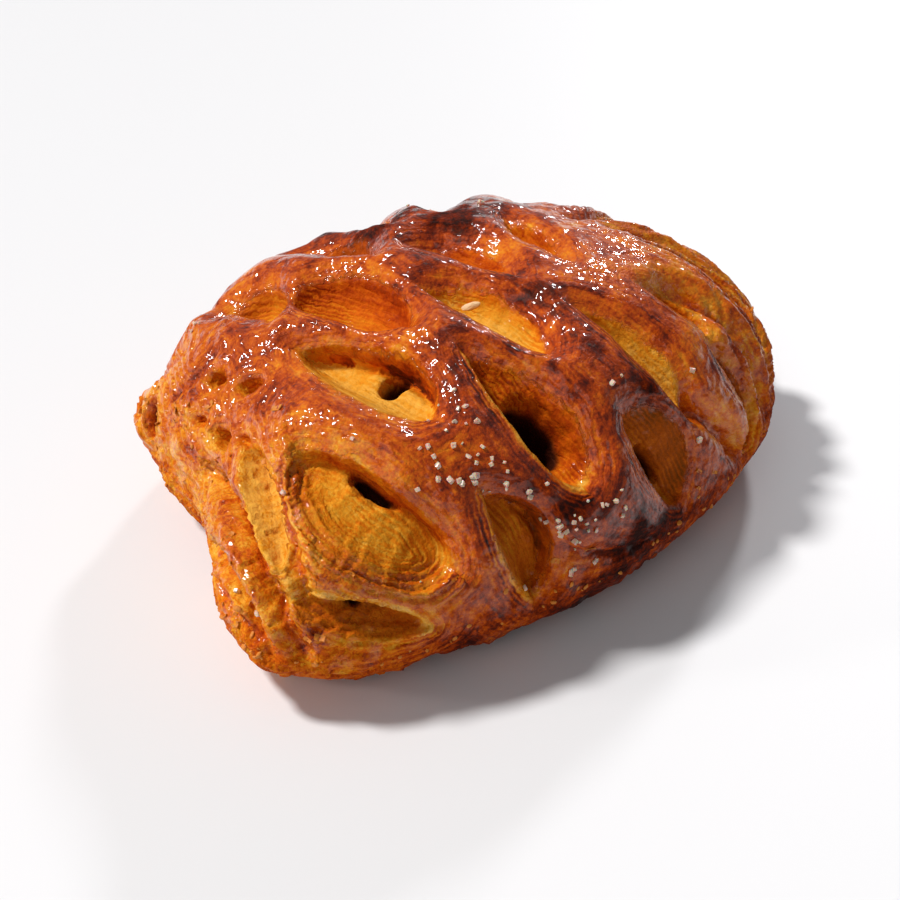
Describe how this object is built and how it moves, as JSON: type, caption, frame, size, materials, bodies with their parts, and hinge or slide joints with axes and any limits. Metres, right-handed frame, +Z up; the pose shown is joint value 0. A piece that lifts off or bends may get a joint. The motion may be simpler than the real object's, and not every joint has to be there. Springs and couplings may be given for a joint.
{
  "type": "lattice-top puff pastry",
  "caption": "Glazed lattice-top puff pastry: a low, uneven loaf of laminated dough with rows of slits pulled open across its domed top, on a flat base.",
  "frame": {"origin": "under the middle of the box, on the flat base that the pastry rests on", "axes": "+X along the longer way, from the narrow torn end to the broad shell-like end; +Y across it, from the near side to the far side; +Z up through the crown"},
  "size_m": [0.1276, 0.0968, 0.047],
  "materials": {
    "crust": "satin",
    "sugar": "gloss"
  },
  "bodies": {
    "root": {"pastry": "crust"}
  },
  "joints": []
}
